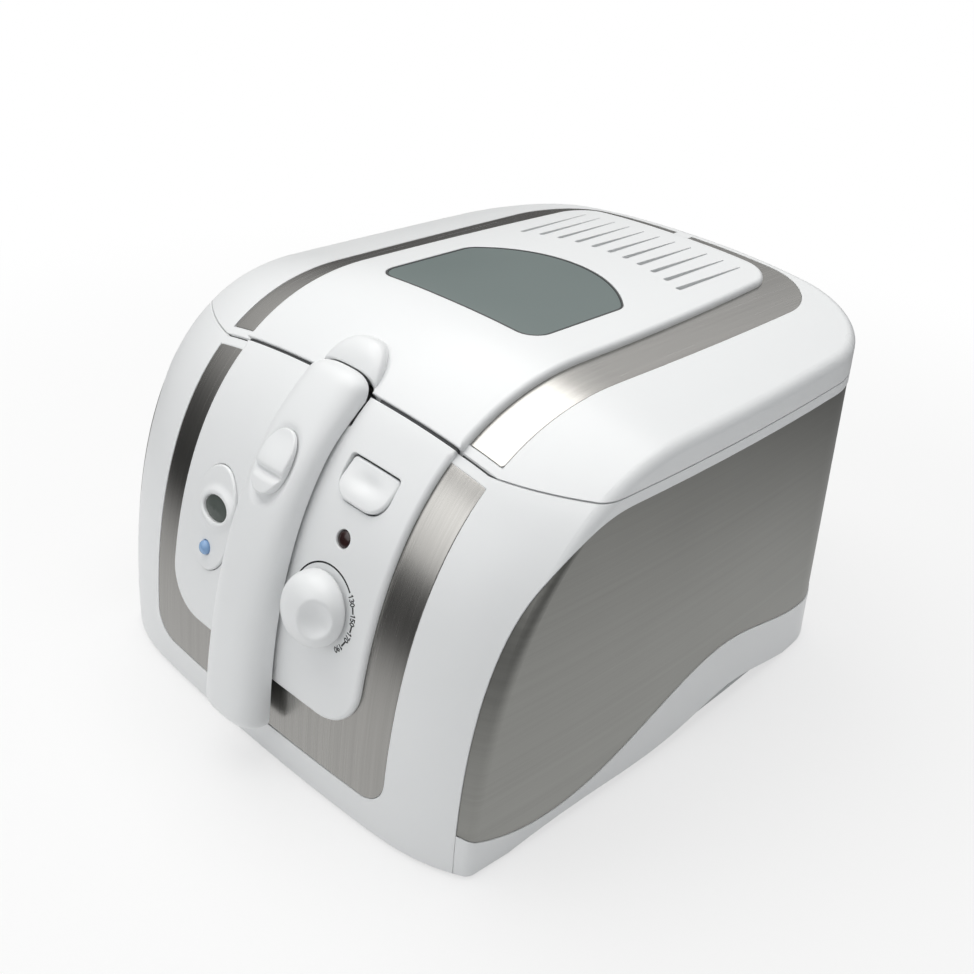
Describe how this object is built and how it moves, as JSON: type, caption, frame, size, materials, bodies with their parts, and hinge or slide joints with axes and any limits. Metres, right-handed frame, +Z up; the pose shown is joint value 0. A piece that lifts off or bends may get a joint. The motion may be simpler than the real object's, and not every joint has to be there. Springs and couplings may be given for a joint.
{
  "type": "deep fryer",
  "caption": "Rounded countertop deep fryer: white housing, brushed trim, rear-hinged lid with window and vents, front handle that folds up and lifts a frying basket.",
  "frame": {"origin": "on the floor under the feet, at the middle of the overall width and depth", "axes": "+X to the right seen from the front, -Y out of the front, +Z up"},
  "size_m": [0.2804, 0.3399, 0.205],
  "materials": {
    "white_plastic": "smooth gloss",
    "pale_plastic": "fine matt",
    "brushed_trim": "brushed lengthwise",
    "brushed_wrapper": "brushed lengthwise",
    "pot_coating": "satin non-stick coating",
    "lid_aluminium": "satin",
    "plated_steel": "zinc plated",
    "bright_steel": "bright",
    "basket_wire": "bright plated wire",
    "element_sheath": "heat darkened",
    "gear_plastic": "moulded",
    "dark_plastic": "moulded",
    "switch_body": "moulded",
    "foot_rubber": "matt",
    "seal_rubber": "matt",
    "display_window": "glossy dark grey-green",
    "button_blue": "translucent pale blue",
    "pilot_red": "dark red lens",
    "window_glass": "smoked",
    "filter_felt": "felt"
  },
  "bodies": {
    "body": {"base_skirt": "white_plastic", "bottom_plate": "pale_plastic", "base_screws": "bright_steel", "rubber_feet": "foot_rubber", "wrapper_left": "brushed_wrapper", "wrapper_right": "brushed_wrapper", "wrapper_rear": "brushed_wrapper", "front_housing": "white_plastic", "front_inlay": "brushed_trim", "control_panel": "white_plastic", "inner_deck": "pale_plastic", "oil_pot": "pot_coating", "heating_element": "element_sheath", "element_bracket": "plated_steel", "thermal_cutout": "switch_body", "terminal_block": "dark_plastic", "cord_gland": "dark_plastic", "timer_bezel": "white_plastic", "timer_lens": "display_window", "timer_module": "dark_plastic", "pilot_lens": "pilot_red", "pilot_lamp": "dark_plastic", "thermostat_body": "switch_body", "latch_pin": "bright_steel", "lift_bracket": "plated_steel", "hinge_pins": "bright_steel"},
    "lid": {"lid_shell": "white_plastic", "lid_panel": "white_plastic", "lid_nose": "white_plastic", "lid_strip_left": "brushed_trim", "lid_strip_right": "brushed_trim", "window_glass": "window_glass", "window_gasket": "seal_rubber", "window_well": "pale_plastic", "lid_liner": "lid_aluminium", "lid_seal": "seal_rubber", "filter_cartridge": "filter_felt", "filter_grille": "lid_aluminium", "lid_catch": "lid_aluminium"},
    "handle": {"handle_grip": "white_plastic", "handle_liner": "pale_plastic", "handle_screws": "bright_steel", "handle_pin": "bright_steel", "lift_sector": "gear_plastic"},
    "thumb_slide": {"handle_slide": "white_plastic"},
    "pinion": {"lift_pinion": "gear_plastic"},
    "basket": {"basket_hanger": "plated_steel", "basket_tub": "basket_wire", "basket_rim": "basket_wire"},
    "knob": {"thermostat_knob": "white_plastic", "thermostat_shaft": "bright_steel"},
    "release": {"release_button": "white_plastic"},
    "latch": {"release_latch": "plated_steel"},
    "timer_key": {"timer_button": "button_blue"}
  },
  "joints": [
    {"name": "lid_hinge", "type": "hinge", "parent": "body", "child": "lid", "pos_m": [0, 0.1664, 0.17259], "axis": [-1, 0, 0], "range_deg": [0, 80]},
    {"name": "handle_fold", "type": "hinge", "parent": "body", "child": "handle", "pos_m": [0, -0.09494, 0.17849], "axis": [-1, 0, 0], "range_deg": [0, 65]},
    {"name": "thumb_slide_travel", "type": "slide", "parent": "handle", "child": "thumb_slide", "axis": [0, 0.5061, 0.8625], "range_m": [0, 0.006], "stiffness_N_per_m": 200, "springref_m": -0.001},
    {"name": "pinion_spin", "type": "hinge", "parent": "body", "child": "pinion", "pos_m": [0, -0.06819, 0.1544], "axis": [-1, 0, 0], "range_deg": [-196, 0]},
    {"name": "basket_lift", "type": "slide", "parent": "body", "child": "basket", "axis": [0, 0, 1], "range_m": [0, 0.0308]},
    {"name": "knob_turn", "type": "hinge", "parent": "body", "child": "knob", "pos_m": [0.0416, -0.13561, 0.1003], "axis": [0, 0.9655, -0.2605], "range_deg": [0, 270]},
    {"name": "release_press", "type": "slide", "parent": "body", "child": "release", "axis": [0, 0.8282, -0.5604], "range_m": [0, 0.0035], "stiffness_N_per_m": 400, "springref_m": -0.002},
    {"name": "latch_rock", "type": "hinge", "parent": "body", "child": "latch", "pos_m": [0.0434, -0.095, 0.15199], "axis": [1, 0, 0], "range_deg": [0, 13.9]},
    {"name": "timer_press", "type": "slide", "parent": "body", "child": "timer_key", "axis": [0, 0.9747, -0.2236], "range_m": [0, 0.0012], "stiffness_N_per_m": 500, "springref_m": -0.001}
  ],
  "couplings": [
    {"joint": "pinion_spin", "follows": "handle_fold", "ratio": -3},
    {"joint": "basket_lift", "follows": "handle_fold", "m_per_rad": 0.027},
    {"joint": "latch_rock", "follows": "release_press", "rad_per_m": 68.776}
  ]
}
